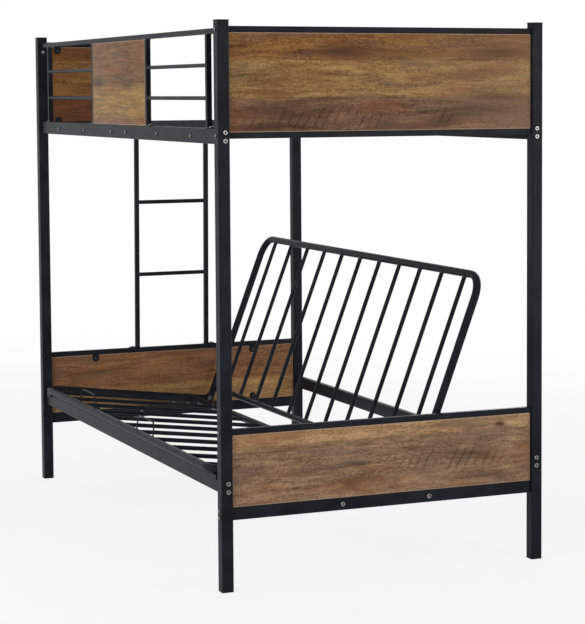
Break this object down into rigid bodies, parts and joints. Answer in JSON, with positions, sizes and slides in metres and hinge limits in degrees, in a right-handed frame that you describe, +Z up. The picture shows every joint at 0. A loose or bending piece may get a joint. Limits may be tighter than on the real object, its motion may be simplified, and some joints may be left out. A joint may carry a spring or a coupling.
{
  "type": "sofa bunk bed",
  "caption": "Metal bunk bed with wood-look end boards over a tubular sofa frame that folds out flat into a wide bed, with guards and an end ladder.",
  "frame": {"origin": "on the floor under the middle of the frame", "axes": "+X along the bed towards the closed end, -X towards the ladder end, -Y towards the front of the sofa, +Z up"},
  "size_m": [1.989, 1.0732, 1.664],
  "materials": {
    "powder_coated_steel": "near-black blue-grey satin powder coat on steel tube",
    "panel_board": "wood-grain foil on board, golden brown to red-brown, satin",
    "guard_board": "wood-grain foil on board, lighter tan, satin",
    "black_plastic": "moulded black plastic",
    "nylon": "black nylon glide",
    "zinc_bolts": "zinc-plated steel",
    "black_screws": "black-oxide steel screws"
  },
  "bodies": {
    "frame": {"near_front_post": "powder_coated_steel", "near_back_post": "powder_coated_steel", "far_front_post": "powder_coated_steel", "far_back_post": "powder_coated_steel", "post_caps": "black_plastic", "post_feet": "black_plastic", "near_upper_top_rail": "powder_coated_steel", "near_upper_bottom_rail": "powder_coated_steel", "near_lower_top_rail": "powder_coated_steel", "near_lower_bottom_rail": "powder_coated_steel", "far_upper_top_rails": "powder_coated_steel", "far_upper_bottom_rail": "powder_coated_steel", "far_lower_top_rail": "powder_coated_steel", "far_lower_bottom_rail": "powder_coated_steel", "far_opening_uprights": "powder_coated_steel", "near_upper_board": "panel_board", "near_lower_board": "panel_board", "far_upper_front_board": "panel_board", "far_upper_back_board": "panel_board", "far_lower_board": "panel_board", "board_tabs": "powder_coated_steel", "tab_screws": "black_screws", "upper_front_rail": "powder_coated_steel", "upper_back_rail": "powder_coated_steel", "lower_front_rail": "powder_coated_steel", "lower_back_rail": "powder_coated_steel", "front_guard_rail": "powder_coated_steel", "front_guard_uprights": "powder_coated_steel", "front_guard_board": "guard_board", "front_guard_rods": "powder_coated_steel", "back_guard_rail": "powder_coated_steel", "back_guard_uprights": "powder_coated_steel", "back_guard_board": "guard_board", "back_guard_rods": "powder_coated_steel", "ladder_uprights": "powder_coated_steel", "ladder_rungs": "powder_coated_steel", "deck_strips": "powder_coated_steel", "deck_rods": "powder_coated_steel", "frame_bolts": "zinc_bolts", "post_screws": "zinc_bolts", "guard_bolts": "zinc_bolts", "foot_and_ladder_screws": "zinc_bolts", "deck_bolts": "zinc_bolts", "support_bracket_bolts": "zinc_bolts", "futon_support_brackets": "powder_coated_steel"},
    "glides": {"seat_glides": "nylon"},
    "seat": {"seat_frame": "powder_coated_steel", "seat_rear_tube": "powder_coated_steel", "seat_rods": "powder_coated_steel", "seat_tube_plugs": "black_plastic", "seat_hinge_brackets": "powder_coated_steel", "seat_bracket_bolts": "zinc_bolts", "hinge_pins": "black_screws", "mattress_hoops": "powder_coated_steel"},
    "back": {"backrest_frame": "powder_coated_steel", "backrest_bottom_bar": "powder_coated_steel", "backrest_rods": "powder_coated_steel", "backrest_tube_plugs": "black_plastic", "backrest_hinge_plates": "powder_coated_steel", "backrest_plate_bolts": "zinc_bolts"}
  },
  "joints": [
    {"name": "seat_tilt", "type": "hinge", "parent": "frame", "child": "glides", "pos_m": [0, -0.509, 0.331], "axis": [1, 0, 0], "range_deg": [0, 7]},
    {"name": "seat_slide", "type": "slide", "parent": "glides", "child": "seat", "axis": [0, -0.9925, 0.1219], "range_m": [0, 0.27682]},
    {"name": "back_fold", "type": "hinge", "parent": "seat", "child": "back", "pos_m": [0, 0.12361, 0.27005], "axis": [-1, 0, 0], "range_deg": [0, 76.2]}
  ],
  "couplings": [
    {"joint": "seat_tilt", "follows": "back_fold", "ratio": 0.091864},
    {"joint": "seat_slide", "follows": "back_fold", "m_per_rad": 0.20815}
  ]
}
